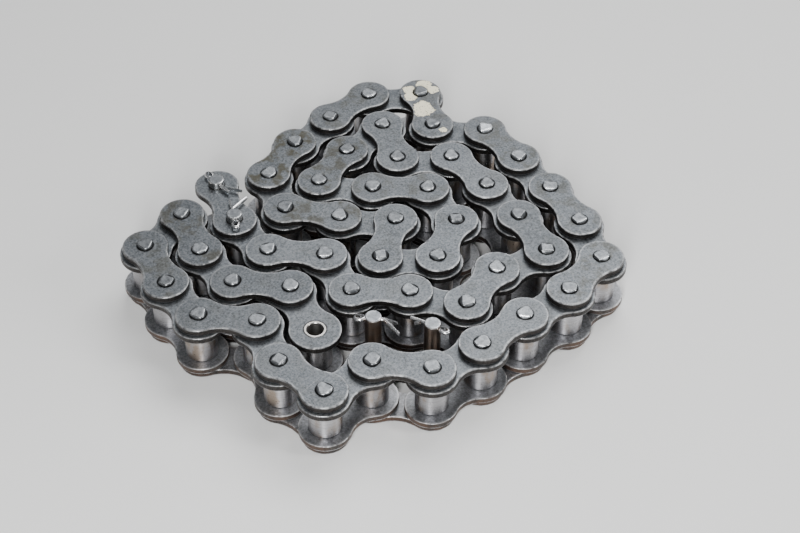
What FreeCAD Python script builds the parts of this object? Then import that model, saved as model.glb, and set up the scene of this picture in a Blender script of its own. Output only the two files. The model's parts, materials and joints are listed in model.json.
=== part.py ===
import FreeCAD, Part
import math
import os
import re
import Sketcher

# Heavy single-strand roller chain of 50.8 mm pitch, lying on its side in a loose coil,
# with a spare connecting link standing in the coil.
# The origin is on the axis of the first bushing, half-way across the chain's width.
# +Z runs along the pins and the coil lies in XY. Sizes are in millimetres and degrees.

doc = FreeCAD.newDocument("roller_chain")
sheet = doc.addObject("Spreadsheet::Sheet", "Sizes")

# ---------------------------------------------------------------- driving dimensions

SIZES = [
    ("pitch", 50.8, "pin centre to pin centre"),
    ("inner_width", 31.75, "between the two inner plates"),
    ("inner_plate", 6.35, "thickness of an inner plate"),
    ("outer_plate", 6.35, "thickness of an outer plate"),
    ("plate_play", 0.5, "gap between an inner and an outer plate"),
    ("end_gap", 4.8, "between the ends of two inner plates on a straight run"),
    ("outer_step", 2.7, "inner plate's end radius less the outer plate's"),
    ("inner_waist", 7.7, "end radius less half width at an inner plate's waist"),
    ("outer_waist", 6.5, "end radius less half width at an outer plate's waist"),
    ("edge_break", 0.5, "chamfer along a plate's edges"),
    ("pin_dia", 14.28, "pin diameter"),
    ("pin_play", 0.08, "radial play of a pin in its bushing or cover plate"),
    ("bushing_wall", 2.3, "wall of a bushing"),
    ("roller_dia", 28.58, "roller diameter"),
    ("roller_play", 0.08, "radial play of a roller on its bushing"),
    ("roller_side_play", 0.3, "gap at each end of a roller"),
    ("roller_edge", 1.2, "rounding at a roller's ends"),
    ("rivet_stand", 2.8, "height of a riveted pin end above its plate"),
    ("rivet_swell", 0.25, "how far a riveted end spreads past the pin"),
    ("rivet_bevel", 1.0, "bevel of a riveted end"),
    ("cotter_stand", 7.2, "height of a cottered pin end above its plate"),
    ("pin_bevel", 0.8, "bevel of a cottered end"),
    ("cotter_dia", 4.0, "split pin diameter"),
    ("cotter_play", 0.15, "radial play of a split pin in its hole"),
    ("cotter_reach", 0.6, "bare length of a split pin on each side of its pin"),
    ("cotter_eye", 6.4, "centre-line diameter of a split pin's eye"),
    ("cotter_wire", 2.4, "thickness of a split pin's eye and legs"),
    ("spare_along", 0.972, "first pin of the spare link, in pitches"),
    ("spare_across", 0.0477, "first pin of the spare link, in pitches"),
    ("spare_heading", -8.7, "way the spare link points"),
]

# Way that each link points, from its first pin to its second, link by link.
HEADINGS = [
    117, 173, 129, 114, 236, 297, 309, 353, 294, 320,
    41, 351, 34, 42, 38, 52, 108, 118, 122, 127,
    172, 103, 184, 224, 230, 244, 291, 348, 356, 255,
    1, 70, 120, 180, 170, 61, 49, 287, 2, 309,
    303, 296, 208, 237, 164, 179, 119, 174, 130, 113,
]
CONNECTING = len(HEADINGS)

# Split pins: way that the eye points, then length and swing of each of the two legs.
COTTERS = {
    "connecting_cotter_1": (282, 15, 3, 20, -48),
    "connecting_cotter_2": (129, 20, 34, 12, 7),
    "spare_cotter_1": (175, 14, -20, 22, -48),
    "spare_cotter_2": (329, 13, 6, 10, 50),
}
COTTER_CELLS = ("eye_way", "leg_one", "swing_one", "leg_two", "swing_two")

# Inner links whose rollers are sub-parts of their own.
OPEN_ROLLER_LINKS = (1, CONNECTING - 1)


def fill_sheet():
    """Write each driving dimension into the sheet, one to a row, with its alias."""
    rows = list(SIZES)
    for number, way in enumerate(HEADINGS, 1):
        rows.append((f"heading_{number:02d}", way, "way a link points"))
    for name, values in COTTERS.items():
        for cell, amount in zip(COTTER_CELLS, values):
            rows.append((f"{cell}_{name}", amount, "split pin's lay"))
    for row, (alias, amount, note) in enumerate(rows, 1):
        sheet.set(f"A{row}", note)
        sheet.set(f"B{row}", str(amount))
        sheet.setAlias(f"B{row}", alias)
    doc.recompute()


fill_sheet()

# Sizes that follow from the cells, in the sheet's own words.
PIN_R = "(pin_dia / 2)"
SLIP_R = "(pin_dia / 2 + pin_play)"
HEAD_R = "(pin_dia / 2 + rivet_swell)"
BUSHING_R = "(pin_dia / 2 + pin_play + bushing_wall)"
ROLLER_BORE_R = "(pin_dia / 2 + pin_play + bushing_wall + roller_play)"
ROLLER_R = "(roller_dia / 2)"
INNER_END_R = "((pitch - end_gap) / 2)"
OUTER_END_R = "((pitch - end_gap) / 2 - outer_step)"
INNER_FACE = "(inner_width / 2)"
BUSHING_END = "(inner_width / 2 + inner_plate)"
OUTER_FACE = "(inner_width / 2 + inner_plate + plate_play)"
PLATE_TOP = "(inner_width / 2 + inner_plate + plate_play + outer_plate)"
COTTER_LEVEL = f"({PLATE_TOP} + cotter_stand / 2)"


def cells(text):
    """Give each of the sheet's words its full name."""
    return re.sub(r"\b([a-z]\w*)\b(?![(.])", r"Sizes.\1", text)


def amount_of(text):
    """Present value of an expression written in the sheet's words."""
    return float(sheet.evalExpression(text))


def bind(thing, **bound):
    """Bind properties to the sheet; a double underscore stands for a dot."""
    for name, text in bound.items():
        thing.setExpression(name.replace("__", "."), cells(text))
    return thing


# ---------------------------------------------------------------- plates and rings


def new_sketch(body, name):
    """Sketch on a body's own XY plane."""
    sketch = body.newObject("Sketcher::SketchObject", name)
    planes = [f for f in body.Origin.OriginFeatures if f.Role == "XY_Plane"]
    sketch.AttachmentSupport = [(planes[0], "")]
    sketch.MapMode = "FlatFace"
    return sketch


def arc(x, y, radius, start, end):
    circle = Part.Circle(FreeCAD.Vector(x, y, 0), FreeCAD.Vector(0, 0, 1), radius)
    return Part.ArcOfCircle(circle, start, end)


def constrain(sketch, *constraint, name=None, to=None):
    """Add a constraint, and name it and bind it to the sheet if it is a size."""
    number = sketch.addConstraint(Sketcher.Constraint(*constraint))
    if name:
        sketch.renameConstraint(number, name)
        sketch.setExpression(f"Constraints.{name}", cells(to))


def plate_outline(sketch, end_r, waist_cut, hole_r):
    """Figure-of-eight: two round ends, two hollow waists tangent to them, two holes."""
    waist_r = f"((pitch / 2) ^ 2 + ({end_r} - {waist_cut}) ^ 2 - {end_r} ^ 2) / (2 * {waist_cut})"
    end = amount_of(end_r)
    waist = amount_of(waist_r)
    pitch = amount_of("pitch")
    rise = end - amount_of(waist_cut) + waist
    lean = math.atan2(rise, pitch / 2)
    first = sketch.addGeometry(arc(0, 0, end, lean, 2 * math.pi - lean))
    below = sketch.addGeometry(arc(pitch / 2, -rise, waist, lean, math.pi - lean))
    second = sketch.addGeometry(arc(pitch, 0, end, lean - math.pi, math.pi - lean))
    above = sketch.addGeometry(arc(pitch / 2, rise, waist, lean - math.pi, -lean))
    start_point, end_point, centre = 1, 2, 3
    origin = (-1, 1)
    x_axis = -1
    constrain(sketch, "Tangent", first, end_point, below, end_point)
    constrain(sketch, "Tangent", below, start_point, second, start_point)
    constrain(sketch, "Tangent", second, end_point, above, end_point)
    constrain(sketch, "Tangent", above, start_point, first, start_point)
    constrain(sketch, "Coincident", first, centre, *origin)
    constrain(sketch, "PointOnObject", second, centre, x_axis)
    constrain(sketch, "Equal", first, second)
    constrain(sketch, "Equal", below, above)
    constrain(sketch, "DistanceX", first, centre, second, centre, pitch, name="pitch", to="pitch")
    constrain(sketch, "Radius", first, end, name="end_radius", to=end_r)
    constrain(sketch, "Radius", below, waist, name="waist_radius", to=waist_r)
    hole = amount_of(hole_r)
    for number, (x, end_arc) in enumerate(((0, first), (pitch, second)), 1):
        circle = sketch.addGeometry(arc(x, 0, hole, 0, 1).Circle)
        constrain(sketch, "Coincident", circle, centre, end_arc, centre)
        constrain(sketch, "Radius", circle, hole, name=f"hole_{number}", to=hole_r)


def flat_faces(feature):
    """Names of the faces that look along Z."""
    names = []
    for number, face in enumerate(feature.Shape.Faces, 1):
        if isinstance(face.Surface, Part.Plane) and abs(face.normalAt(0, 0).z) > 0.9:
            names.append(f"Face{number}")
    return names


def plate(name, end_r, waist_cut, hole_r, thickness):
    """Link plate, standing on XY, with its first hole on the Z axis."""
    body = doc.addObject("PartDesign::Body", name)
    outline = new_sketch(body, f"{name}_outline")
    plate_outline(outline, end_r, waist_cut, hole_r)
    pad = body.newObject("PartDesign::Pad", f"{name}_pad")
    pad.Profile = outline
    bind(pad, Length=thickness)
    doc.recompute()
    bevel = body.newObject("PartDesign::Chamfer", f"{name}_edges")
    bevel.Base = (pad, flat_faces(pad))
    bind(bevel, Size="edge_break")
    return body


def ring(name, outer_r, bore_r, length):
    """Tube about the Z axis, centred on XY."""
    body = doc.addObject("PartDesign::Body", name)
    section = new_sketch(body, f"{name}_section")
    centre = 3
    for label, radius in (("outside", outer_r), ("bore", bore_r)):
        circle = section.addGeometry(arc(0, 0, amount_of(radius), 0, 1).Circle)
        constrain(section, "Coincident", circle, centre, -1, 1)
        constrain(section, "Radius", circle, amount_of(radius), name=label, to=radius)
    pad = body.newObject("PartDesign::Pad", f"{name}_pad")
    pad.Profile = section
    pad.SideType = "Symmetric"
    bind(pad, Length=length)
    doc.recompute()
    return body


def round_ends(body, outer_r, rounding):
    """Round the outside edges of a ring."""
    pad = body.Tip
    reach = amount_of(outer_r)
    names = []
    for number, edge in enumerate(pad.Shape.Edges, 1):
        is_circle = isinstance(edge.Curve, Part.Circle)
        if is_circle and abs(edge.Curve.Radius - reach) < 1e-6:
            names.append(f"Edge{number}")
    fillet = body.newObject("PartDesign::Fillet", f"{body.Name}_rounding")
    fillet.Base = (pad, names)
    bind(fillet, Radius=rounding)
    return body


# ---------------------------------------------------------------- pins and split pins


def cylinder(name, radius, bottom, height):
    shape = doc.addObject("Part::Cylinder", name)
    return bind(shape, Radius=radius, Height=height, Placement__Base__z=bottom)


def bevel_cone(name, wide_r, bevel, bottom):
    """Cone that narrows upwards by its own height."""
    shape = doc.addObject("Part::Cone", name)
    bind(shape, Radius1=wide_r, Radius2=f"{wide_r} - {bevel}", Height=bevel)
    return bind(shape, Placement__Base__z=bottom)


def turn_over(shape, top):
    """Turn a shape upside down, with its lower face at the given height below XY."""
    shape.Placement.Rotation = FreeCAD.Rotation(FreeCAD.Vector(1, 0, 0), 180)
    return bind(shape, Placement__Base__z=f"-{top}")


def fuse(name, shapes):
    union = doc.addObject("Part::MultiFuse", name)
    union.Shapes = shapes
    union.Refine = True
    return union


def riveted_end(name):
    """Upper riveted end: a short swollen head with a bevel."""
    head = cylinder(f"{name}_head", HEAD_R, PLATE_TOP, "rivet_stand - rivet_bevel")
    top = f"({PLATE_TOP} + rivet_stand - rivet_bevel)"
    return [head, bevel_cone(f"{name}_bevel", HEAD_R, "rivet_bevel", top)]


def lower_riveted_end(name):
    head, bevel = riveted_end(name)
    turn_over(head, PLATE_TOP)
    turn_over(bevel, f"({PLATE_TOP} + rivet_stand - rivet_bevel)")
    return [head, bevel]


def riveted_pin():
    shank = cylinder("riveted_shank", PIN_R, f"-{PLATE_TOP}", f"2 * {PLATE_TOP}")
    ends = riveted_end("riveted_upper") + lower_riveted_end("riveted_lower")
    return fuse("riveted_pin", [shank] + ends)


def cottered_pin():
    """Pin with a riveted lower end and a cross hole along X in its upper end."""
    height = f"2 * {PLATE_TOP} + cotter_stand - pin_bevel"
    shank = cylinder("cottered_shank", PIN_R, f"-{PLATE_TOP}", height)
    top = f"({PLATE_TOP} + cotter_stand - pin_bevel)"
    end = bevel_cone("cottered_bevel", PIN_R, "pin_bevel", top)
    solid = fuse("cottered_blank", [shank, end] + lower_riveted_end("cottered_lower"))
    hole = cylinder("cotter_hole", "cotter_dia / 2 + cotter_play", COTTER_LEVEL, "2 * pin_dia")
    hole.Placement.Rotation = FreeCAD.Rotation(FreeCAD.Vector(0, 1, 0), 90)
    bind(hole, Placement__Base__x="-pin_dia")
    pin = doc.addObject("Part::Cut", "cottered_pin")
    pin.Base = solid
    pin.Tool = hole
    return pin


def cotter(name):
    """Split pin along X: its eye on the +X side of the pin, its legs on the -X side."""
    way_out = f"({PIN_R} + cotter_reach)"
    shank = cylinder(f"{name}_shank", "cotter_dia / 2", COTTER_LEVEL, f"2 * {way_out}")
    shank.Placement.Rotation = FreeCAD.Rotation(FreeCAD.Vector(0, 1, 0), 90)
    bind(shank, Placement__Base__x=f"-{way_out}")
    eye = doc.addObject("Part::Torus", f"{name}_eye")
    bind(eye, Radius1="cotter_eye / 2", Radius2="cotter_wire / 2", Placement__Base__z=COTTER_LEVEL)
    bind(eye, Placement__Base__x=f"{way_out} + cotter_eye / 2")
    legs = []
    for leg in ("one", "two"):
        limb = cylinder(f"{name}_leg_{leg}", "cotter_wire / 2", COTTER_LEVEL, f"leg_{leg}_{name}")
        swing = sheet.get(f"swing_{leg}_{name}")
        along = FreeCAD.Rotation(FreeCAD.Vector(0, 1, 0), -90)
        limb.Placement.Rotation = FreeCAD.Rotation(FreeCAD.Vector(0, 0, 1), swing) * along
        bind(limb, Placement__Base__x=f"-{way_out}")
        legs.append(limb)
    return fuse(f"{name}_piece", [shank, eye] + legs)


# ---------------------------------------------------------------- links


def placed(name, *sources, **bound):
    """Group of finished shapes, each still its own solid, with its own placement."""
    group = doc.addObject("Part::Compound", name)
    group.Links = list(sources)
    return bind(group, **bound)


def pair(name, source):
    """The same piece at both pins of a link."""
    second = placed(f"{name}_second", source, Placement__Base__x="pitch")
    return [source, second]


def inner_link_masters():
    """Inner link with and without its rollers, and a roller alone."""
    side = plate("inner_plate_piece", INNER_END_R, "inner_waist", BUSHING_R, "inner_plate")
    upper = placed("inner_plate_upper", side, Placement__Base__z=INNER_FACE)
    lower = placed("inner_plate_lower", side, Placement__Base__z=f"-{BUSHING_END}")
    bushing = ring("bushing_piece", BUSHING_R, SLIP_R, f"2 * {BUSHING_END}")
    length = "inner_width - 2 * roller_side_play"
    roller = round_ends(ring("roller_piece", ROLLER_R, ROLLER_BORE_R, length), ROLLER_R, "roller_edge")
    frame_pieces = [lower, upper] + pair("bushing", bushing)
    bare = placed("inner_link_bare", *frame_pieces)
    full = placed("inner_link_full", *frame_pieces, *pair("roller", roller))
    return full, bare, roller


def outer_link_masters():
    """Riveted outer link, pin link of a connecting link, and its cover plate."""
    side = plate("outer_plate_piece", OUTER_END_R, "outer_waist", PIN_R, "outer_plate")
    upper = placed("outer_plate_upper", side, Placement__Base__z=OUTER_FACE)
    lower = placed("outer_plate_lower", side, Placement__Base__z=f"-{PLATE_TOP}")
    riveted = placed("outer_link_riveted", lower, upper, *pair("riveted", riveted_pin()))
    loose = plate("cover_plate_piece", OUTER_END_R, "outer_waist", SLIP_R, "outer_plate")
    cover = placed("cover_plate_upper", loose, Placement__Base__z=OUTER_FACE)
    return riveted, lower, cover


def lay(node, x, y, way):
    """Put a sub-part at a place in XY and turn it about Z."""
    place = f"placement(vector({x}; {y}; 0mm); rotation(vector(0; 0; 1); {way}))"
    node.setExpression("Placement", cells(place))
    return node


def step_along(x, y, number):
    """Place one pitch further on, along a link's heading."""
    way = f"heading_{number:02d} * 1deg"
    return f"{x} + pitch * 1mm * cos({way})", f"{y} + pitch * 1mm * sin({way})"


def pin_points():
    """Centre of every pin along the chain."""
    points = [doc.addObject("Part::Vertex", "pin_point_01")]
    for number in range(1, CONNECTING + 1):
        before = points[-1].Name
        point = doc.addObject("Part::Vertex", f"pin_point_{number + 1:02d}")
        x, y = step_along(f"{before}.X", f"{before}.Y", number)
        points.append(bind(point, X=x, Y=y))
    return points


def lay_at_pin(node, points, pin_number, way):
    point = points[pin_number - 1].Name
    return lay(node, f"{point}.X", f"{point}.Y", way)


def pin_link(name, lower_plate, pin, cotters, heading):
    """Lower plate of a connecting link with its two pins riveted in."""
    first_turn = f"eye_way_{cotters[0]} - {heading}"
    second_turn = f"eye_way_{cotters[1]} - {heading}"
    first = lay(placed(f"{name}_first_pin", pin), "0mm", "0mm", first_turn)
    second = lay(placed(f"{name}_second_pin", pin), "pitch * 1mm", "0mm", second_turn)
    return placed(name, lower_plate, first, second)


# ---------------------------------------------------------------- the chain and the spare link

points = pin_points()
full_link, bare_link, roller = inner_link_masters()
outer_link, lower_plate, cover_plate = outer_link_masters()
long_pin = cottered_pin()
nodes = []

for number in range(1, CONNECTING):
    heading = f"heading_{number:02d}"
    if number % 2 == 0:
        name, source = f"outer_link_{number:02d}", outer_link
    elif number in OPEN_ROLLER_LINKS:
        name, source = f"inner_link_{number:02d}", bare_link
        for end, pin_number in (("a", number), ("b", number + 1)):
            ring_node = placed(f"roller_{number:02d}{end}", roller)
            nodes.append(lay_at_pin(ring_node, points, pin_number, heading))
    else:
        name, source = f"inner_link_{number:02d}", full_link
    nodes.append(lay_at_pin(placed(name, source), points, number, heading))

connecting_heading = f"heading_{CONNECTING:02d}"
connecting = [name for name in COTTERS if name.startswith("connecting")]
spare = [name for name in COTTERS if name.startswith("spare")]

joiner = pin_link("connecting_pin_link", lower_plate, long_pin, connecting, connecting_heading)
nodes.append(lay_at_pin(joiner, points, CONNECTING, connecting_heading))
cover = placed("connecting_cover_plate", cover_plate)
nodes.append(lay_at_pin(cover, points, CONNECTING, connecting_heading))
for step, name in enumerate(connecting):
    split_pin = placed(name, cotter(name))
    nodes.append(lay_at_pin(split_pin, points, CONNECTING + step, f"eye_way_{name}"))

spare_end = "spare_along * pitch * 1mm", "spare_across * pitch * 1mm"
spare_joiner = pin_link("spare_pin_link", lower_plate, long_pin, spare, "spare_heading")
nodes.append(lay(spare_joiner, *spare_end, "spare_heading"))
for name in spare:
    nodes.append(lay(placed(name, cotter(name)), *spare_end, f"eye_way_{name}"))
    reach = "pitch * 1mm * cos(spare_heading * 1deg)", "pitch * 1mm * sin(spare_heading * 1deg)"
    spare_end = f"{spare_end[0]} + {reach[0]}", f"{spare_end[1]} + {reach[1]}"

doc.recompute()

# ---------------------------------------------------------------- checks and export

for thing in doc.Objects:
    if "Invalid" in thing.State or "Error" in thing.State:
        raise RuntimeError(f"{thing.Name} did not compute: {thing.State}")

os.makedirs("parts", exist_ok=True)
for node in nodes:
    if node.Shape.isNull() or not node.Shape.isValid():
        raise RuntimeError(f"{node.Label} has no valid shape")
    node.Shape.exportStep(f"parts/{node.Label}.step")
print(len(nodes), "sub-parts,", sum(len(node.Shape.Solids) for node in nodes), "solids")
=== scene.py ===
import json
import math
import random

import bmesh
import bpy
from mathutils import Matrix, Quaternion, Vector
from mathutils.geometry import tessellate_polygon


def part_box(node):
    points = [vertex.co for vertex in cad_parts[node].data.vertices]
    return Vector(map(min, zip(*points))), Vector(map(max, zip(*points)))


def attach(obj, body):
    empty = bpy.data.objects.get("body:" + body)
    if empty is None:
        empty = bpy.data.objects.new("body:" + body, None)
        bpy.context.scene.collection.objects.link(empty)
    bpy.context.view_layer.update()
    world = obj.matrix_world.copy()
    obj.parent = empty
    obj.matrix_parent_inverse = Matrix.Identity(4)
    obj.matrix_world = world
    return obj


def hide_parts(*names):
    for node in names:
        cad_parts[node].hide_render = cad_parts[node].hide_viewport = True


# Looks of a heavy roller chain of 50 links that lies on its side in a loose coil, with a spare
# connecting link standing in the coil. Each piece of the chain is one object, made about the
# first pin of its link, with +X along the link. Everything is in metres.

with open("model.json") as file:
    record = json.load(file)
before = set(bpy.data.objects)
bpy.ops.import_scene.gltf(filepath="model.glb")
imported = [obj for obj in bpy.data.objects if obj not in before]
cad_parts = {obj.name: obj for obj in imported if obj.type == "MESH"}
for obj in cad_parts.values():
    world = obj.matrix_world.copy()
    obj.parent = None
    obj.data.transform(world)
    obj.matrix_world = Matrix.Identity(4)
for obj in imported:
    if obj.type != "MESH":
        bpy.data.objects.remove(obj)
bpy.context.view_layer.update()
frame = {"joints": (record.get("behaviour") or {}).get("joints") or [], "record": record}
dice = random.Random(50)
MM = 0.001

# ---------------------------------------------------------------- sizes, read from the frame

joints = {j["name"]: j for j in frame["joints"]}
mounts = {m["name"]: m for m in frame["record"]["mounts"]}
body_of_node = {}
for body_name, members in frame["record"]["behaviour"]["bodies"].items():
    for member in members:
        body_of_node[member] = body_name

LINKS = 50
pins = [Vector(mounts["open_bushing"]["pos_m"])]
for number in range(2, LINKS + 1):
    pins.append(Vector(joints[f"pin_{number:02d}_hinge"]["pos_m"]))
pins.append(Vector(mounts["free_connecting_pin"]["pos_m"]))

PITCH = (pins[1] - pins[0]).length


def end_radius(node, first, second):
    """Radius of a link's round ends, from its box and its two pins."""
    low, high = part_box(node)
    return (high.x - low.x - abs(second.x - first.x)) / 2


INNER_END_R = end_radius("inner_link_01", pins[0], pins[1])
OUTER_END_R = end_radius("connecting_cover_plate", pins[49], pins[50])
INNER_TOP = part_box("inner_link_01")[1].z
OUTER_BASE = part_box("connecting_cover_plate")[0].z
OUTER_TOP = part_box("connecting_cover_plate")[1].z
PLATE = OUTER_TOP - OUTER_BASE
INNER_BASE = INNER_TOP - PLATE
RIVET_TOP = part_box("outer_link_02")[1].z
PIN_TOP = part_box("connecting_pin_link")[1].z
COTTER_LEVEL = (OUTER_TOP + PIN_TOP) / 2
PIN_R = mounts["free_connecting_pin"]["dims"]["r_mm"] * MM
BORE_R = mounts["open_bushing"]["dims"]["r_mm"] * MM
BUSHING_WALL = 2.3 * MM
BUSHING_R = BORE_R + BUSHING_WALL
ROLLER_LOW, ROLLER_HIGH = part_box("roller_01a")
ROLLER_R = (ROLLER_HIGH.x - ROLLER_LOW.x) / 2
ROLLER_PLAY = 0.08 * MM
RIVET_SWELL = 0.25 * MM
HEAD_R = PIN_R + RIVET_SWELL
INNER_WAIST = 7.7 * MM
OUTER_WAIST = 6.5 * MM
COTTER_R = 1.9 * MM
EYE_R = 3.2 * MM
HOLE_STEPS = 48
ROUND_STEPS = 72
SHARP = math.radians(38)

# ---------------------------------------------------------------- mesh building


class Skin:
    """Mesh under construction, made of rings of points with bands of faces between them."""

    # The first tag marks wear and painted highlight on edges, the last marks grime and painted shade
    # where parts meet.
    TAGS = ("worn", "side", "grime")

    def __init__(self, turn=None):
        self.turn = turn or Matrix.Identity(4)
        self.points = []
        self.faces = []
        self.tags = {name: [] for name in self.TAGS}

    def ring(self, points, **tags):
        first = len(self.points)
        self.points += [self.turn @ Vector(p) for p in points]
        for name, values in self.tags.items():
            values += [tags.get(name, 0.0)] * len(points)
        return range(first, len(self.points))

    def band(self, upper, lower):
        """Faces between two rings of the same number of points."""
        count = len(upper)
        for k in range(count):
            after = (k + 1) % count
            self.faces.append((upper[k], lower[k], lower[after], upper[after]))

    def bands(self, rings):
        for upper, lower in zip(rings, rings[1:]):
            self.band(upper, lower)

    def cap(self, loop, *holes, over=False):
        """Flat face over a loop, less its holes."""
        loops = [list(loop)] + [list(hole) for hole in holes]
        flat = [index for part in loops for index in part]
        shape = [[self.points[index] for index in part] for part in loops]
        for a, b, c in tessellate_polygon(shape):
            face = (flat[a], flat[b], flat[c])
            self.faces.append(face if over else face[::-1])

    def mesh(self, name, sharp=SHARP):
        made = bpy.data.meshes.new(name)
        made.from_pydata([tuple(p) for p in self.points], [], self.faces)
        made.validate()
        for tag, values in self.tags.items():
            made.attributes.new(tag, "FLOAT", "POINT").data.foreach_set("value", values)
        made.polygons.foreach_set("use_smooth", [True] * len(made.polygons))
        made.update()
        settle_normals(made)
        made.set_sharp_from_angle(angle=sharp)
        return made


def settle_normals(made):
    """Turn every face of a closed mesh outwards."""
    work = bmesh.new()
    work.from_mesh(made)
    bmesh.ops.recalc_face_normals(work, faces=work.faces)
    work.to_mesh(made)
    work.free()


def circle(radius, height, steps, x=0.0):
    points = []
    for k in range(steps):
        way = 2 * math.pi * k / steps
        points.append((x + radius * math.cos(way), radius * math.sin(way), height))
    return points


def plate_outline(end_r, waist_cut):
    """Points of a link plate's outline with their outward directions."""
    half = PITCH / 2
    waist_r = (half**2 + (end_r - waist_cut) ** 2 - end_r**2) / (2 * waist_cut)
    rise = end_r - waist_cut + waist_r
    lean = math.atan2(rise, half)
    turn = math.pi - lean
    arcs = [
        (0, 0, end_r, lean, 2 * math.pi - lean, 1, 40),
        (half, -rise, waist_r, turn, lean, -1, 16),
        (PITCH, 0, end_r, -turn, turn, 1, 40),
        (half, rise, waist_r, -lean, -turn, -1, 16),
    ]
    found = []
    for x, y, radius, start, end, facing, steps in arcs:
        for k in range(steps):
            way = start + (end - start) * k / steps
            out = Vector((math.cos(way), math.sin(way), 0))
            found.append((Vector((x, y, 0)) + out * radius, out * facing))
    return found


def rolled_edge(rim, level, facing, steps=5):
    """(inset, height, wear and painted highlight) down a rolled rim, from the flat face to the side.
    """
    found = []
    for k in range(steps + 1):
        way = math.pi / 2 * k / steps
        # Wear and painted highlight, strongest halfway round the rim.
        wear_and_sheen = 0.45 + 0.55 * math.sin(2 * way)
        found.append((rim * (1 - math.sin(way)), level - facing * rim * (1 - math.cos(way)), wear_and_sheen))
    return found


def plate_mesh(name, end_r, waist_cut, hole_r, base, under=False):
    """Punched link plate: rolled rims, sheared side and two lightly broken holes."""
    skin = Skin(Matrix.Rotation(math.pi, 4, "X") if under else None)
    outline = plate_outline(end_r, waist_cut)
    top = base + PLATE
    outer_rim, inner_rim, flat_edge = 1.05 * MM, 0.7 * MM, 1.3 * MM

    def loop(inset, height, **tags):
        return skin.ring([p - out * inset + Vector((0, 0, height)) for p, out in outline], **tags)

    rings = [loop(outer_rim + flat_edge, top), loop(outer_rim + 0.3 * MM, top, worn=0.3)]
    for inset, height, wear_and_sheen in rolled_edge(outer_rim, top, 1):
        rings.append(loop(inset, height, worn=wear_and_sheen, side=0.9 * (1 - inset / outer_rim)))
    rings.append(loop(0, top - 1.6 * outer_rim, side=1))
    rings.append(loop(0, base + 1.8 * inner_rim, side=1))
    for inset, height, wear_and_sheen in reversed(rolled_edge(inner_rim, base, -1)):
        rings.append(loop(inset, height, worn=wear_and_sheen * 0.8, side=0.9 * (1 - inset / inner_rim)))
    rings.append(loop(inner_rim + flat_edge, base))
    skin.bands(rings)

    break_edge = 0.65 * MM
    margin = 1.5 * MM
    # The last column darkens the hole's edge: dirt about the pin, and painted shade where pin and
    # plate meet.
    hole_rows = [
        (hole_r + margin, top, 0.0),
        (hole_r + break_edge, top, 0.8),
        (hole_r, top - break_edge, 1.0),
        (hole_r, base + break_edge, 1.0),
        (hole_r + break_edge, base, 0.8),
        (hole_r + margin, base, 0.0),
    ]
    hole_tops, hole_bases = [], []
    for x in (0, PITCH):
        hole = []
        for radius, height, grime in hole_rows:
            hole.append(skin.ring(circle(radius, height, HOLE_STEPS, x), grime=grime))
        skin.bands(hole[::-1])
        hole_tops.append(hole[0])
        hole_bases.append(hole[-1])
    skin.cap(rings[0], *hole_tops, over=True)
    skin.cap(rings[-1], *hole_bases)
    return skin.mesh(name)


def tube_mesh(name, outer_r, bore_r, half, rounding, bore_break):
    """Ring about the Z axis with rounded outside edges and a broken bore edge."""
    skin = Skin()
    rows = [(bore_r, 0, 0), (bore_r, half - bore_break, 0), (bore_r + bore_break, half, 0.5)]
    rows.append((outer_r - rounding - 0.2 * MM, half, 0.4))
    for k in range(7):
        way = math.pi / 2 * k / 6
        radius = outer_r - rounding * (1 - math.sin(way))
        rows.append((radius, half - rounding * (1 - math.cos(way)), 1 - k / 6))
    rows += [(outer_r, half - rounding - 1.5 * MM, 0), (outer_r, half / 2, 0), (outer_r, 0, 0)]
    below = [(radius, -height, wear_and_sheen) for radius, height, wear_and_sheen in rows[1:-1]]
    rings = []
    for radius, height, wear_and_sheen in rows + below[::-1]:
        rings.append(skin.ring(circle(radius, height, ROUND_STEPS), worn=wear_and_sheen))
    skin.bands(rings + [rings[0]])
    return skin.mesh(name)


def head_reach(way, flats):
    """How far a riveted head reaches from its axis, cut back where a blow has flattened it."""
    crisp = 22
    total = HEAD_R**-crisp
    for facing, reach in flats:
        across = math.cos(way - facing)
        if across > 0.2:
            total += (reach / across) ** -crisp
    return total ** (-1 / crisp)


def beaten_ring(skin, flats, height, size, **tags):
    """Ring of points round a head; size gives the radius for how far the flats let it reach."""
    shape = []
    for k in range(ROUND_STEPS):
        way = 2 * math.pi * k / ROUND_STEPS
        radius = size(head_reach(way, flats))
        shape.append((radius * math.cos(way), radius * math.sin(way), height))
    return skin.ring(shape, **tags)


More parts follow.
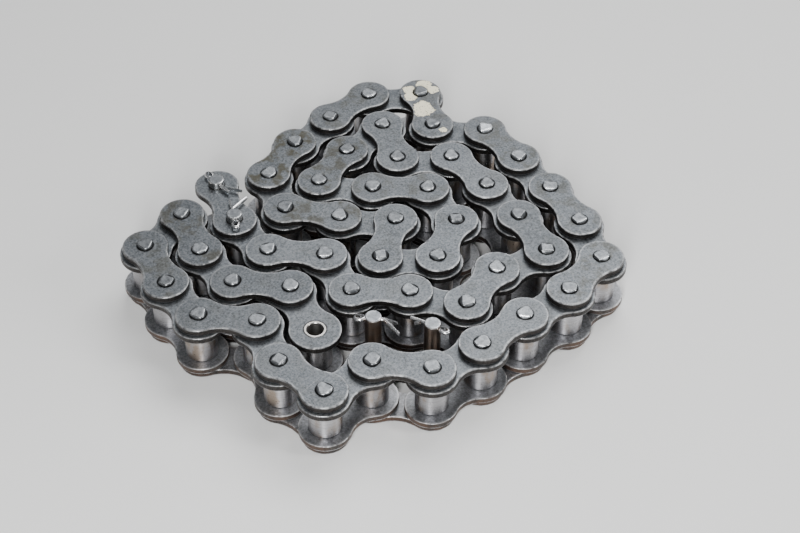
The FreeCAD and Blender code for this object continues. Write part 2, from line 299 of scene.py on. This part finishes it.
def riveted_end(skin, flats):
    """Head that is beaten over the end of a pin. Returns the ring inside the plate."""
    bevel, dish = 1.3 * MM, 0.12 * MM
    # how much of the flats' depth is cut, step outwards, height, wear with a painted highlight on the
    # bevel, and painted shade near the plate
    rows = [
        (0.0, PIN_R - HEAD_R, OUTER_TOP - 1.5 * MM, 0.0, 1.0),
        (0.0, PIN_R - HEAD_R, OUTER_TOP + 0.05 * MM, 0.0, 1.0),
        (0.0, 0.0, OUTER_TOP + 0.3 * MM, 0.0, 1.0),
        (0.1, -0.1 * MM, OUTER_TOP + 0.45 * MM, 0.0, 1.0),
        (0.2, 0.0, OUTER_TOP + 0.6 * MM, 0.0, 1.0),
        (0.4, 0.0, OUTER_TOP + 1.0 * MM, 0.1, 0.75),
        (0.72, 0.0, OUTER_TOP + 1.6 * MM, 0.15, 0.35),
        (0.95, 0.0, RIVET_TOP - 0.8 * MM, 0.4, 0.1),
        (1.0, -0.15 * MM, RIVET_TOP - 0.5 * MM, 1.0, 0.0),
        (1.0, -0.45 * MM, RIVET_TOP - 0.2 * MM, 1.0, 0.0),
        (1.0, -0.8 * MM, RIVET_TOP - 0.06 * MM, 0.7, 0.0),
        (1.0, -bevel, RIVET_TOP, 0.15, 0.0),
    ]
    rings = []
    for cut, step, height, wear_and_sheen, grime in rows:

        def rim(reach, cut=cut, step=step):
            return HEAD_R + (reach - HEAD_R) * cut + step

        rings.append(beaten_ring(skin, flats, height, rim, worn=wear_and_sheen, grime=grime))
    for share in (0.72, 0.45, 0.2):

        def face(reach, share=share):
            return (reach - bevel) * share

        sunk = RIVET_TOP - dish * (1 - share)
        rings.append(beaten_ring(skin, flats, sunk, face, worn=0.1))
    skin.bands(rings[::-1])
    skin.cap(rings[-1], over=True)
    return rings[0]


def random_flats():
    """Flats a third or a quarter of a turn apart, some deep and some slight."""
    count = dice.choice((3, 3, 3, 4))
    start = dice.uniform(0, 2 * math.pi)
    found = []
    for k in range(count):
        way = start + 2 * math.pi * k / count + dice.uniform(-0.18, 0.18)
        found.append((way, HEAD_R * dice.uniform(0.60, 0.97)))
    return found


def lower_end(skin, upper):
    """Riveted end under the chain, and the shaft from it up to the upper end's lowest ring."""
    skin.turn = Matrix.Rotation(math.pi, 4, "X")
    lower = riveted_end(skin, random_flats())
    skin.band(upper, [lower[0]] + list(reversed(lower))[:-1])


def riveted_pin_mesh(name):
    """Pin with a beaten head at both ends."""
    skin = Skin()
    lower_end(skin, riveted_end(skin, random_flats()))
    return skin.mesh(name)


def cottered_pin_mesh(name, cotter_way):
    """Pin with a ground upper end, cross-drilled for a split pin, and a riveted lower end."""
    skin = Skin()
    edge = 0.8 * MM
    # Rows of radius, height and wear; the top edge's wear also paints a highlight there.
    rows = [
        (PIN_R, OUTER_TOP - 2 * MM, 0.0),
        (PIN_R, PIN_TOP - edge - 1.2 * MM, 0.1),
        (PIN_R, PIN_TOP - edge, 0.7),
        (PIN_R - edge * 0.3, PIN_TOP - edge * 0.35, 1.0),
        (PIN_R - edge, PIN_TOP, 1.0),
        (PIN_R - edge - 0.5 * MM, PIN_TOP, 0.2),
        (PIN_R * 0.45, PIN_TOP - 0.05 * MM, 0.0),
    ]
    rings = []
    for radius, height, wear_and_sheen in rows:
        rings.append(skin.ring(circle(radius, height, ROUND_STEPS), worn=wear_and_sheen))
    skin.bands(rings[::-1])
    skin.cap(rings[-1], over=True)
    lower_end(skin, rings[0])
    return drilled(skin.mesh(name), cotter_way)


def drilled(made, way):
    """Cut the split pin's hole through a pin's upper end, whose top takes the second material."""
    drill = Skin(Matrix.Rotation(way, 4, "Z") @ Matrix.Translation((0, 0, COTTER_LEVEL)))
    across = 2 * PIN_R
    ends = []
    for x in (-across, across):
        shape = [(x, p[0], p[1]) for p in circle(COTTER_R + 0.2 * MM, 0, 32)]
        # The hole's wall is painted dark as painted shade.
        ends.append(drill.ring(shape, grime=1))
    drill.band(ends[0], ends[1])
    drill.cap(ends[0])
    drill.cap(ends[1], over=True)
    pin = bpy.data.objects.new("pin_to_drill", made)
    tool = bpy.data.objects.new("drill", drill.mesh("drill"))
    for thing in (pin, tool):
        bpy.context.scene.collection.objects.link(thing)
    cut = pin.modifiers.new("hole", "BOOLEAN")
    cut.operation = "DIFFERENCE"
    cut.solver = "EXACT"
    cut.object = tool
    evaluated = pin.evaluated_get(bpy.context.evaluated_depsgraph_get())
    result = bpy.data.meshes.new_from_object(evaluated)
    for thing in (pin, tool):
        bpy.data.objects.remove(thing)
    result.set_sharp_from_angle(angle=SHARP)
    for face in result.polygons:
        if face.center.z > PIN_TOP - 0.5 * MM:
            face.material_index = 1
    return result


# ---------------------------------------------------------------- split pins


def split_pin_path(leg_one, swing_one, leg_two, swing_two):
    """Middle line of a split pin's wire, from one leg's tip round the eye to the other's tip."""
    way_out = PIN_R + 0.6 * MM
    lift = COTTER_R / 2
    points = []
    bend, bend_length = 5, 3 * MM
    straight_steps = 4
    for side, length, swing in ((1, leg_two, swing_two), (-1, leg_one, swing_one)):
        leg = []
        turned = math.radians(swing)
        at = Vector((-way_out, side * lift, 0))
        leg.append(at.copy())
        for k in range(bend):
            way = math.pi + turned * (k + 0.5) / bend
            at += Vector((math.cos(way), math.sin(way), 0)) * (bend_length / bend)
            leg.append(at.copy())
        way = math.pi + turned
        straight = length * MM - bend_length
        for k in range(straight_steps):
            at += Vector((math.cos(way), math.sin(way), 0)) * (straight / straight_steps)
            leg.append(at.copy())
        points.append(leg)
    first = points[0][::-1]
    first.append(Vector((0, lift, 0)))
    neck = way_out - 0.5 * MM
    first.append(Vector((neck, lift, 0)))
    eye = []
    centre = Vector((way_out + EYE_R * 1.15, 0, 0))
    spread = math.radians(152)
    eye_steps, eye_long, eye_wide = 18, 1.28, 0.92
    for k in range(eye_steps + 1):
        way = spread - 2 * spread * k / eye_steps
        out = Vector((math.cos(way) * eye_long, math.sin(way) * eye_wide, 0))
        eye.append(centre + out * (EYE_R + 0.4 * MM))
    second = [Vector((neck, -lift, 0)), Vector((0, -lift, 0))] + points[1]
    return first + eye + second


def split_pin_mesh(name, legs):
    """Half-round wire bent double: flat faces together, a round eye, two legs spread apart."""
    skin = Skin(Matrix.Translation((0, 0, COTTER_LEVEL)))
    path = split_pin_path(*legs)
    section = []
    for k in range(11):
        way = -math.pi / 2 + math.pi * k / 10
        section.append((math.cos(way) * COTTER_R * 0.95 - COTTER_R / 2, math.sin(way) * COTTER_R))
    section.append((-COTTER_R / 2, COTTER_R * 0.5))
    section.append((-COTTER_R / 2, -COTTER_R * 0.5))
    rings = []
    for k, at in enumerate(path):
        before, after = path[max(k - 1, 0)], path[min(k + 1, len(path) - 1)]
        along = (after - before).normalized()
        out = Vector((-along.y, along.x, 0))
        tip = k in (0, len(path) - 1)
        size = 0.85 if tip else 1.0
        shape = [at + out * u * size + Vector((0, 0, v * size)) for u, v in section]
        rings.append(skin.ring(shape, worn=1.0 if tip else 0.4))
    skin.bands(rings)
    skin.cap(rings[0])
    skin.cap(rings[-1], over=True)
    return skin.mesh(name, sharp=math.radians(50))


# ---------------------------------------------------------------- material nodes


class Look:
    """Material under construction."""

    def __init__(self, name):
        self.material = bpy.data.materials.new(name)
        self.material.use_nodes = True
        self.tree = self.material.node_tree
        self.shader = self.tree.nodes["Principled BSDF"]
        self.place = self.node("ShaderNodeTexCoord").outputs["Object"]
        self.seed = self.tag("seed")

    def node(self, kind, **settings):
        made = self.tree.nodes.new(kind)
        for name, value in settings.items():
            setattr(made, name, value)
        return made

    def feed(self, socket, value):
        """Give an input a value, or join it to another node's output."""
        if isinstance(value, bpy.types.NodeSocket):
            self.tree.links.new(value, socket)
        elif isinstance(value, tuple) and len(value) == 3 and socket.type == "RGBA":
            socket.default_value = (*value, 1)
        else:
            socket.default_value = value

    def tag(self, name):
        return self.node("ShaderNodeAttribute", attribute_name=name).outputs["Fac"]

    def noise(self, scale, detail=3.0, rough=0.55, stretch=(1, 1, 1), spin=0.0, shift=0.0):
        """Noise of the piece's own, because its fourth dimension is the piece's seed."""
        mapping = self.node("ShaderNodeMapping")
        self.feed(mapping.inputs["Vector"], self.place)
        mapping.inputs["Scale"].default_value = stretch
        mapping.inputs["Rotation"].default_value = (0, 0, spin)
        made = self.node("ShaderNodeTexNoise", noise_dimensions="4D")
        self.feed(made.inputs["Vector"], mapping.outputs["Vector"])
        self.feed(made.inputs["W"], self.maths("ADD", self.seed, shift))
        self.feed(made.inputs["Scale"], scale)
        self.feed(made.inputs["Detail"], detail)
        self.feed(made.inputs["Roughness"], rough)
        return made.outputs["Fac"]

    def maths(self, operation, first, second):
        made = self.node("ShaderNodeMath", operation=operation)
        self.feed(made.inputs[0], first)
        self.feed(made.inputs[1], second)
        return made.outputs["Value"]

    def span(self, value, low, high, start=0.0, end=1.0):
        """Smooth step of a value from low to high."""
        made = self.node("ShaderNodeMapRange", interpolation_type="SMOOTHSTEP")
        for socket, amount in zip(made.inputs, (value, low, high, start, end)):
            self.feed(socket, amount)
        return made.outputs["Result"]

    def mix(self, share, first, second):
        """Colour between two colours."""
        made = self.node("ShaderNodeMix", data_type="RGBA")
        self.feed(made.inputs["Factor"], share)
        self.feed(made.inputs[6], first)
        self.feed(made.inputs[7], second)
        return made.outputs[2]

    def blend(self, share, first, second):
        """Number between two numbers."""
        made = self.node("ShaderNodeMix", data_type="FLOAT")
        self.feed(made.inputs["Factor"], share)
        self.feed(made.inputs[2], first)
        self.feed(made.inputs[3], second)
        return made.outputs[0]

    def bump(self, height, depth, normal=None):
        made = self.node("ShaderNodeBump")
        made.inputs["Strength"].default_value = 1.0
        made.inputs["Distance"].default_value = depth
        self.feed(made.inputs["Height"], height)
        if normal is not None:
            self.feed(made.inputs["Normal"], normal)
        return made.outputs["Normal"]

    def toned(self, colour, tone):
        """Colour made lighter or darker by the piece's tone."""
        made = self.node("ShaderNodeHueSaturation")
        self.feed(made.inputs["Color"], colour)
        self.feed(made.inputs["Value"], tone)
        return made.outputs["Color"]

    def near(self, centre, low, high):
        """1 close to a point of the piece, fading to 0."""
        made = self.node("ShaderNodeVectorMath", operation="DISTANCE")
        self.feed(made.inputs[0], self.place)
        made.inputs[1].default_value = centre
        return self.span(made.outputs["Value"], low, high, 1.0, 0.0)

    def finish(self, **sockets):
        for name, value in sockets.items():
            self.feed(self.shader.inputs[name.replace("_", " ")], value)
        return self.material


def plate_material(name, painted=False):
    """Heat-treated, oiled plate: grey mottled faces, sheared sides painted dark as painted shade, and
    rims painted bright with wear and a painted highlight.
    """
    look = Look(name)
    worn, side, grime = look.tag("worn"), look.tag("side"), look.tag("grime")
    tone, stain, brown = look.tag("tone"), look.tag("stain"), look.tag("brown")
    cloud = look.noise(55, 4, 0.6)
    broad = look.noise(17, 3, 0.5, shift=1.3)
    speck = look.noise(520, 5, 0.7, shift=3.1)
    grain = look.noise(1700, 2, 0.5, shift=7.7)
    colour = look.mix(look.span(cloud, 0.30, 0.70), (0.094, 0.104, 0.115), (0.138, 0.150, 0.163))
    colour = look.mix(look.span(broad, 0.35, 0.65, 0.0, 0.5), colour, (0.148, 0.158, 0.168))
    colour = look.mix(look.span(speck, 0.44, 0.64, 0.0, 0.8), colour, (0.225, 0.238, 0.252))
    colour = look.mix(look.span(speck, 0.35, 0.48, 0.75, 0.0), colour, (0.052, 0.056, 0.060))
    colour = look.mix(look.span(grain, 0.30, 0.52, 0.42, 0.0), colour, (0.052, 0.055, 0.058))
    scratch_a = look.noise(22, 2, 0.5, (1, 60, 1), 0.55, 11.0)
    scratch_b = look.noise(20, 2, 0.5, (55, 1, 1), 0.25, 17.0)
    scratch_a = look.span(scratch_a, 0.70, 0.76)
    scratch_b = look.span(scratch_b, 0.71, 0.77)
    scratches = look.maths("MAXIMUM", scratch_a, scratch_b)
    colour = look.mix(look.maths("MULTIPLY", scratches, 0.4), colour, (0.36, 0.37, 0.38))
    patches = look.span(look.noise(70, 5, 0.62, shift=23.0), 0.46, 0.62)
    stained = look.maths("MULTIPLY", patches, stain)
    colour = look.mix(stained, colour, (0.084, 0.076, 0.050))
    colour = look.mix(look.maths("MULTIPLY", brown, 0.5), colour, (0.110, 0.096, 0.094))
    rust = look.maths("MULTIPLY", brown, look.span(cloud, 0.35, 0.65))
    # Sides painted near black as painted shade, with real rust on the browned plates.
    side_shade_and_rust = look.mix(look.span(speck, 0.35, 0.7), (0.022, 0.021, 0.021), (0.066, 0.058, 0.053))
    side_shade_and_rust = look.mix(rust, side_shade_and_rust, (0.098, 0.058, 0.040))
    colour = look.mix(side, colour, side_shade_and_rust)
    # Rims painted bright: some real wear, and a painted highlight where the rolled rims catch the
    # light.
    bright = look.maths("MULTIPLY", worn, look.span(look.noise(240, 3, 0.6, shift=31.0), 0.30, 0.62))
    colour = look.mix(look.maths("MULTIPLY", bright, 0.85), colour, (0.47, 0.475, 0.48))
    # Dark ring round the holes: dirt, and painted shade where the pins meet the plate.
    colour = look.mix(look.maths("MULTIPLY", grime, 0.7), colour, (0.035, 0.034, 0.033))
    colour = look.toned(colour, tone)
    rough = look.blend(look.span(speck, 0.3, 0.7), 0.40, 0.48)
    rough = look.blend(bright, rough, 0.27)
    rough = look.blend(stained, rough, 0.62)
    normal = look.bump(speck, 0.05 * MM, look.bump(cloud, 0.45 * MM))
    shear = look.noise(60, 3, 0.6, (14, 14, 1), shift=41.0)
    normal = look.bump(look.maths("MULTIPLY", shear, side), 0.5 * MM, normal)
    metal = 0.9
    if painted:
        colour, rough, metal, normal = splashed(look, colour, rough, normal)
    look.shader.inputs["Specular IOR Level"].default_value = 0.5
    return look.finish(Base_Color=colour, Roughness=rough, Metallic=metal, Normal=normal)


def splashed(look, colour, rough, normal):
    """Dried cream paint in flecks and one long splash between the pins."""
    spots = [
        ((0.50 * PITCH, 0.002, OUTER_TOP), 5 * MM, 15 * MM),
        ((0.38 * PITCH, 0.006, OUTER_TOP), 2 * MM, 10 * MM),
        ((0.90 * PITCH, 0.011, OUTER_TOP), 3 * MM, 9 * MM),
        ((1.20 * PITCH, -0.006, OUTER_TOP), 3 * MM, 11 * MM),
        ((1.12 * PITCH, 0.010, OUTER_TOP), 2 * MM, 9 * MM),
        ((-0.22 * PITCH, -0.008, OUTER_TOP), 1 * MM, 6 * MM),
        ((1.02 * PITCH, -0.013, OUTER_TOP), 2 * MM, 9 * MM),
    ]
    cover = 0.0
    for centre, low, high in spots:
        cover = look.maths("MAXIMUM", cover, look.near(centre, low, high))
    notch = look.near((0.55 * PITCH, -0.012, OUTER_TOP), 3 * MM, 9 * MM)
    cover = look.maths("SUBTRACT", cover, notch)
    edge = look.noise(230, 5, 0.68, shift=53.0)
    mask = look.span(look.maths("ADD", look.maths("MULTIPLY", cover, 0.60), edge), 0.71, 0.76)
    dirt = look.span(look.noise(620, 3, 0.6, shift=61.0), 0.34, 0.42)
    mask = look.maths("MULTIPLY", mask, dirt)
    shade = look.mix(look.noise(420, 3, 0.6, shift=59.0), (0.88, 0.80, 0.54), (0.99, 0.95, 0.78))
    colour = look.mix(mask, colour, shade)
    rough = look.blend(mask, rough, 0.55)
    metal = look.blend(mask, 0.9, 0.0)
    return colour, rough, metal, look.bump(mask, 0.25 * MM, normal)


def round_material(name, dark, light, tan, rough, tan_share, streak=0.55):
    """Turned or ground round steel: fine rings round the axis, heat tint, bright rounded ends."""
    look = Look(name)
    worn, grime, tone = look.tag("worn"), look.tag("grime"), look.tag("tone")
    rings = look.noise(30, 4, 0.7, (1, 1, 90), shift=2.0)
    cloud = look.noise(70, 3, 0.6, (1, 1, 0.5), shift=5.0)
    speck = look.noise(700, 4, 0.65, shift=9.0)
    colour = look.mix(look.span(rings, 0.3, 0.7), dark, light)
    colour = look.mix(look.span(cloud, 0.46, 0.66, 0.0, tan_share), colour, tan)
    colour = look.mix(look.span(speck, 0.32, 0.42, 0.3, 0.0), colour, tuple(c * 0.5 for c in dark))
    # Edges painted bright: wear on the rounded ends, and a painted highlight on the pins' top edge.
    bright = look.maths("MULTIPLY", worn, look.span(speck, 0.3, 0.6))
    colour = look.mix(look.maths("MULTIPLY", bright, 0.7), colour, (0.74, 0.73, 0.71))
    # Painted shade: dark where a riveted end meets the plate and inside the split pin's hole.
    colour = look.mix(look.maths("MULTIPLY", grime, 0.8), colour, (0.03, 0.028, 0.026))
    colour = look.toned(colour, tone)
    spread = look.blend(look.span(speck, 0.3, 0.7), rough, rough + 0.12)
    normal = look.bump(rings, 0.008 * MM, look.bump(speck, 0.003 * MM))
    tangent = look.node("ShaderNodeTangent", axis="Z")
    look.shader.inputs["Anisotropic"].default_value = streak
    look.feed(look.shader.inputs["Tangent"], tangent.outputs["Tangent"])
    look.shader.inputs["Anisotropic Rotation"].default_value = 0.25
    return look.finish(Base_Color=colour, Roughness=spread, Metallic=1.0, Normal=normal)


def rivet_material(name):
    """Beaten pin end: pale and dented, with a painted highlight on its struck edge and painted shade,
    black, where it meets the plate.
    """
    look = Look(name)
    worn, grime, tone = look.tag("worn"), look.tag("grime"), look.tag("tone")
    dents = look.noise(330, 4, 0.6)
    speck = look.noise(900, 4, 0.7, shift=4.0)
    colour = look.mix(look.span(dents, 0.3, 0.7), (0.130, 0.139, 0.149), (0.205, 0.217, 0.230))
    colour = look.mix(look.span(speck, 0.3, 0.44, 0.4, 0.0), colour, (0.10, 0.105, 0.11))
    # Painted highlight: the head's bevel is made bright.
    bright = look.maths("MULTIPLY", worn, look.span(dents, 0.3, 0.6))
    colour = look.mix(look.maths("MULTIPLY", bright, 0.8), colour, (0.52, 0.53, 0.54))
    # Painted shade: black where the head meets the plate.
    colour = look.mix(grime, colour, (0.02, 0.02, 0.02))
    colour = look.toned(colour, tone)
    rough = look.blend(bright, look.blend(look.span(speck, 0.3, 0.7), 0.34, 0.5), 0.24)
    normal = look.bump(dents, 0.16 * MM, look.bump(speck, 0.03 * MM))
    return look.finish(Base_Color=colour, Roughness=rough, Metallic=0.95, Normal=normal)


def wire_material(name):
    """Bright zinc on drawn wire, rubbed along its length."""
    look = Look(name)
    worn = look.tag("worn")
    drawn = look.noise(260, 4, 0.65)
    speck = look.noise(1300, 3, 0.6, shift=6.0)
    colour = look.mix(look.span(drawn, 0.3, 0.7), (0.74, 0.75, 0.76), (0.90, 0.90, 0.90))
    colour = look.mix(look.span(speck, 0.28, 0.38, 0.3, 0.0), colour, (0.30, 0.30, 0.30))
    colour = look.mix(look.maths("MULTIPLY", worn, 0.3), colour, (0.9, 0.9, 0.9))
    rough = look.blend(look.span(drawn, 0.3, 0.7), 0.2, 0.32)
    normal = look.bump(drawn, 0.04 * MM, look.bump(speck, 0.01 * MM))
    return look.finish(Base_Color=colour, Roughness=rough, Metallic=1.0, Normal=normal)


plate_steel = plate_material("plate_steel")
painted_steel = plate_material("painted_plate_steel", painted=True)
HEAT_TINT = (0.34, 0.25, 0.17)
roller_steel = round_material(
    "roller_steel", (0.32, 0.315, 0.325), (0.56, 0.55, 0.565), HEAT_TINT, 0.26, 0.7, streak=0.9
)
bushing_steel = round_material(
    "bushing_steel", (0.28, 0.27, 0.26), (0.5, 0.49, 0.47), (0.36, 0.28, 0.2), 0.3, 0.3
)
ground_steel = round_material(
    "ground_pin_steel", (0.36, 0.355, 0.35), (0.62, 0.62, 0.61), HEAT_TINT, 0.2, 0.4, streak=0.7
)
browned_steel = round_material(
    "browned_pin_steel", (0.12, 0.095, 0.08), (0.22, 0.17, 0.14), (0.16, 0.10, 0.06), 0.28, 0.6
)
rivet_steel = rivet_material("rivet_steel")
zinc_wire = wire_material("zinc_wire")

# ---------------------------------------------------------------- pieces


def add_piece(name, made, place, body, node, slot, *materials, **tags):
    """One piece of the chain, with its own copy of a mesh and its own tags for the materials."""
    own = made.copy()
    own.name = name
    values = {"seed": dice.uniform(0, 400), "tone": 1.0, "stain": 0.1, "brown": 0.0, **tags}
    count = len(own.vertices)
    for tag, value in values.items():
        own.attributes.new(tag, "FLOAT", "POINT").data.foreach_set("value", [value] * count)
    for material in materials:
        own.materials.append(material)
    piece = bpy.data.objects.new(name, own)
    bpy.context.scene.collection.objects.link(piece)
    piece.matrix_world = place
    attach(piece, body)
    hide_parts(node)


def place_at(first, second):
    """Place of a link from its two pins."""
    way = math.atan2(second.y - first.y, second.x - first.x)
    return Matrix.Translation((first.x, first.y, 0)) @ Matrix.Rotation(way, 4, "Z")


inner_upper = plate_mesh("inner_upper", INNER_END_R, INNER_WAIST, BUSHING_R, INNER_BASE)
inner_lower = plate_mesh("inner_lower", INNER_END_R, INNER_WAIST, BUSHING_R, INNER_BASE, under=True)
outer_upper = plate_mesh("outer_upper", OUTER_END_R, OUTER_WAIST, PIN_R, OUTER_BASE)
outer_lower = plate_mesh("outer_lower", OUTER_END_R, OUTER_WAIST, PIN_R, OUTER_BASE, under=True)
bushing = tube_mesh("bushing", BUSHING_R, BORE_R, INNER_TOP, 0.3 * MM, 0.6 * MM)
roller = tube_mesh("roller", ROLLER_R, BUSHING_R + ROLLER_PLAY, ROLLER_HIGH.z, 1.2 * MM, 0.5 * MM)
second_end = Matrix.Translation((PITCH, 0, 0))

# How stained the upper plate of an outer link is, by the link's number; the rest are almost clean.
STAINED = {
    4: 0.5,
    6: 0.35,
    16: 0.4,
    18: 0.3,
    20: 0.35,
    22: 0.3,
    24: 0.35,
    26: 0.8,
    28: 0.5,
    34: 0.3,
    36: 0.55,
}
CLEAN = 0.12
PAINTED = 22
POLISHED = (20, "b")
# Painted light: how much paler the lower plates are made, standing in for the light and the rollers'
# reflections they show.
LOWER_PLATE_PAINTED_LIGHT = 1.7
POLISHED_TONE = 2.0


def add_plates(kind, tag, upper, lower, place, node, face, tone, stain):
    """The upper and the lower plate of a link; the lower one is browner, and painted paler as painted
    light.
    """
    body = body_of_node[node]
    name = f"{kind}_plate_upper_{tag}"
    add_piece(name, upper, place, body, node, "plate_steel", face, tone=tone, stain=stain)
    # The lower plate is painted paler as painted light.
    low = dict(tone=tone * LOWER_PLATE_PAINTED_LIGHT, stain=0.1, brown=0.6)
    name = f"{kind}_plate_lower_{tag}"
    add_piece(name, lower, place, body, node, "plate_steel", plate_steel, **low)


for number in range(1, LINKS):
    place = place_at(pins[number - 1], pins[number])
    tone = dice.uniform(0.88, 1.12)
    stain = STAINED.get(number, CLEAN)
    tag = f"{number:02d}"
    ends = (("a", place), ("b", place @ second_end))
    if number % 2:
        node = f"inner_link_{tag}"
        body = body_of_node[node]
        add_plates("inner", tag, inner_upper, inner_lower, place, node, plate_steel, tone, stain)
        for end, at in ends:
            add_piece(f"bushing_{tag}{end}", bushing, at, body, node, "roller_steel", bushing_steel)
            roller_node = f"roller_{tag}{end}"
            if roller_node in body_of_node:
                roller_home = body_of_node[roller_node], roller_node
            else:
                roller_home = body, node
            shade = dice.uniform(0.8, 1.1)
            look = ("roller_steel", roller_steel)
            add_piece(roller_node, roller, at, *roller_home, *look, tone=shade)
    else:
        node = f"outer_link_{tag}"
        body = body_of_node[node]
        face = painted_steel if number == PAINTED else plate_steel
        add_plates("outer", tag, outer_upper, outer_lower, place, node, face, tone, stain)
        for end, at in ends:
            pin = riveted_pin_mesh("riveted_pin")
            shade = dice.uniform(0.8, 1.25)
            if (number, end) == POLISHED:
                shade *= POLISHED_TONE
            add_piece(f"pin_{tag}{end}", pin, at, body, node, "plate_steel", rivet_steel, tone=shade)

# Split pins: way that the eye points, then length and swing of each of the two legs.
COTTERS = {
    "connecting_cotter_1": (282, 15, 3, 20, -48),
    "connecting_cotter_2": (129, 20, 34, 12, 7),
    "spare_cotter_1": (175, 14, -20, 22, -48),
    "spare_cotter_2": (329, 13, 6, 10, 50),
}


def joining_link(prefix, first, second, node, cotters, shaft, bright):
    """Lower plate, two cross-drilled pins and their split pins."""
    place = place_at(first, second)
    heading = math.atan2(second.y - first.y, second.x - first.x)
    body = body_of_node[node]
    name = f"{prefix}_plate_lower"
    steel = dict(tone=0.85, brown=0.3, stain=0.4)
    add_piece(name, outer_lower, place, body, node, "plate_steel", plate_steel, **steel)
    for end, at, cotter in zip("ab", (first, second), cotters):
        eye_way, *legs = COTTERS[cotter]
        made = cottered_pin_mesh("cottered_pin", math.radians(eye_way) - heading)
        spot = Matrix.Translation((at.x, at.y, 0))
        turned = spot @ Matrix.Rotation(heading, 4, "Z")
        name = f"{prefix}_pin_{end}"
        steels = (shaft, rivet_steel)
        add_piece(name, made, turned, body, node, "pin_steel", *steels, tone=bright)
        wire = split_pin_mesh("split_pin", legs)
        eye_place = spot @ Matrix.Rotation(math.radians(eye_way), 4, "Z")
        home = body_of_node[cotter]
        add_piece(cotter, wire, eye_place, home, cotter, "cotter_wire", zinc_wire)


connecting_place = place_at(pins[LINKS - 1], pins[LINKS])
cover = "connecting_cover_plate"
cover_body = body_of_node[cover]
add_piece(cover, outer_upper, connecting_place, cover_body, cover, "plate_steel", plate_steel)
chain_cotters, spare_cotters = sorted(COTTERS)[:2], sorted(COTTERS)[2:]
chain_ends = pins[LINKS - 1], pins[LINKS]
joining_link("connecting", *chain_ends, "connecting_pin_link", chain_cotters, ground_steel, 1.0)

spare_low, spare_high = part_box("spare_pin_link")
spare_first = Vector((spare_low.x + OUTER_END_R, spare_high.y - OUTER_END_R, 0))
spare_second = Vector((spare_high.x - OUTER_END_R, spare_low.y + OUTER_END_R, 0))
spare_ends = spare_first, spare_second
joining_link("spare", *spare_ends, "spare_pin_link", spare_cotters, browned_steel, 1.3)

for spent in (inner_upper, inner_lower, outer_upper, outer_lower, bushing, roller):
    bpy.data.meshes.remove(spent)

# ---------------------------------------------------------------- floor, light and camera


def soft_light(name, place, aim, width, height, power):
    lamp = bpy.data.lights.new(name, "AREA")
    lamp.shape = "RECTANGLE"
    lamp.size, lamp.size_y = width, height
    lamp.energy = power
    holder = bpy.data.objects.new(name, lamp)
    holder.location = place
    holder.rotation_mode = "QUATERNION"
    holder.rotation_quaternion = (Vector(aim) - Vector(place)).to_track_quat("-Z", "Y")
    bpy.context.scene.collection.objects.link(holder)


def pale_floor():
    look = Look("pale_floor")
    tint = look.mix(look.noise(3, 2), (0.80, 0.80, 0.79), (0.84, 0.84, 0.83))
    half = 6.0
    level = -RIVET_TOP - 0.1 * MM
    corners = [(-half, -half, level), (half, -half, level), (half, half, level), (-half, half, level)]
    made = bpy.data.meshes.new("floor")
    made.from_pydata(corners, [], [(0, 1, 2, 3)])
    made.materials.append(look.finish(Base_Color=tint, Roughness=0.75))
    floor = bpy.data.objects.new("floor", made)
    bpy.context.scene.collection.objects.link(floor)


def photo_camera():
    """Camera in front of the coil, looking down on it at 44 degrees with a long lens."""
    lens, distance = 73.33, 1.4264
    azimuth, elevation, roll = (math.radians(way) for way in (-0.168, 44.065, 0.416))
    aim = Vector((0.0720, 0.0670, RIVET_TOP))
    level = math.cos(elevation)
    back = Vector((math.sin(azimuth) * level, -math.cos(azimuth) * level, math.sin(elevation)))
    data = bpy.data.cameras.new("camera")
    data.sensor_width = 36.0
    data.lens = lens
    data.clip_start, data.clip_end = 0.05, 50.0
    camera = bpy.data.objects.new("camera", data)
    camera.rotation_mode = "QUATERNION"
    camera.location = aim + back * distance
    camera.rotation_quaternion = back.to_track_quat("Z", "Y") @ Quaternion((0, 0, 1), roll)
    bpy.context.scene.collection.objects.link(camera)
    bpy.context.scene.camera = camera


middle = (0.05, 0.12, 0.0)
soft_light("sky_behind", (0.56, 1.31, 2.01), middle, 1.9, 1.5, 47)
soft_light("front_window", (-0.12, -1.35, 0.95), middle, 0.22, 0.9, 34)
soft_light("right_fill", (1.7, -0.5, 0.9), middle, 0.4, 1.0, 16)
world = bpy.data.worlds.new("studio")
world.use_nodes = True
backdrop = world.node_tree.nodes["Background"]
backdrop.inputs["Color"].default_value = (0.78, 0.80, 0.83, 1)
backdrop.inputs["Strength"].default_value = 0.27
bpy.context.scene.world = world
pale_floor()
photo_camera()
